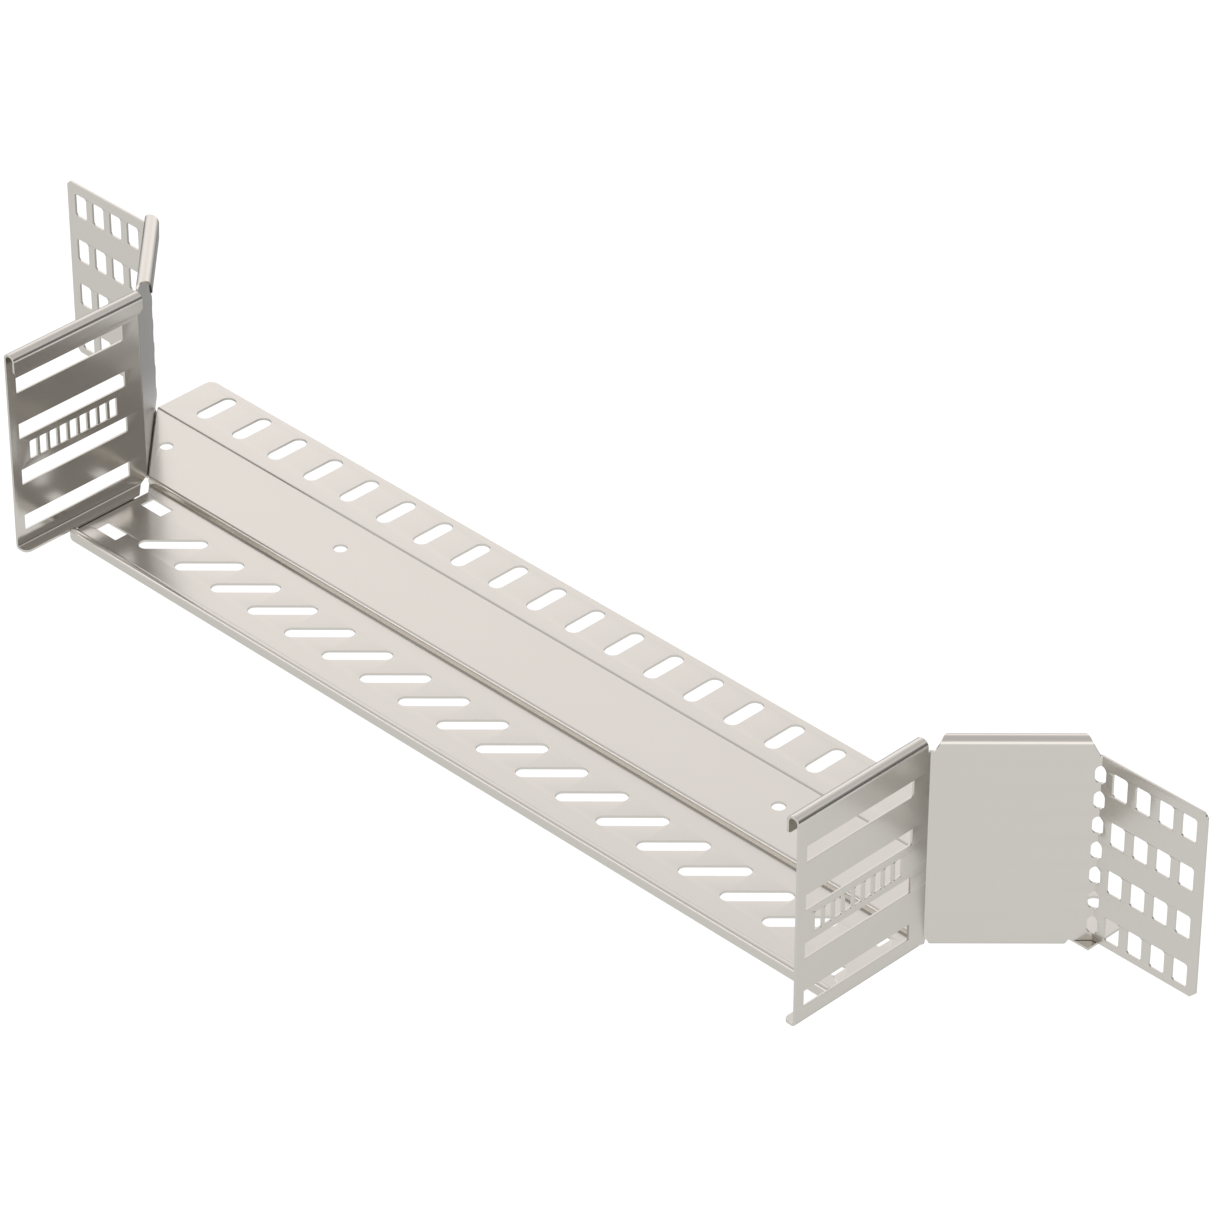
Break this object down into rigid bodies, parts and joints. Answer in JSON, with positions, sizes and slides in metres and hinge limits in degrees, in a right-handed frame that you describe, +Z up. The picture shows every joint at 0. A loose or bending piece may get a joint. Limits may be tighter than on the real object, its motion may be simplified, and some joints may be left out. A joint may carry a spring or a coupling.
{
  "type": "cable tray branch",
  "caption": "Bolt-on tee branch for a perforated cable tray: slotted floor plate with splayed side rails, rolled rims and perforated bolting wings.",
  "frame": {"origin": "middle of the underside: halfway between the wing ends along X, halfway between the rail fronts and the strip's back edge along Y, at the lower edge of the front lip", "axes": "+X along the main tray, from the left rail to the right one; +Y from the branch tray towards the main tray; +Z up, out of the cable way"},
  "size_m": [0.7096, 0.1568, 0.111],
  "materials": {
    "floor_steel": "mill-finished stainless sheet",
    "rail_steel": "mill-finished stainless sheet"
  },
  "bodies": {
    "root": {"floor_plate": "floor_steel", "left_side_rail": "rail_steel", "right_side_rail": "rail_steel"}
  },
  "joints": []
}
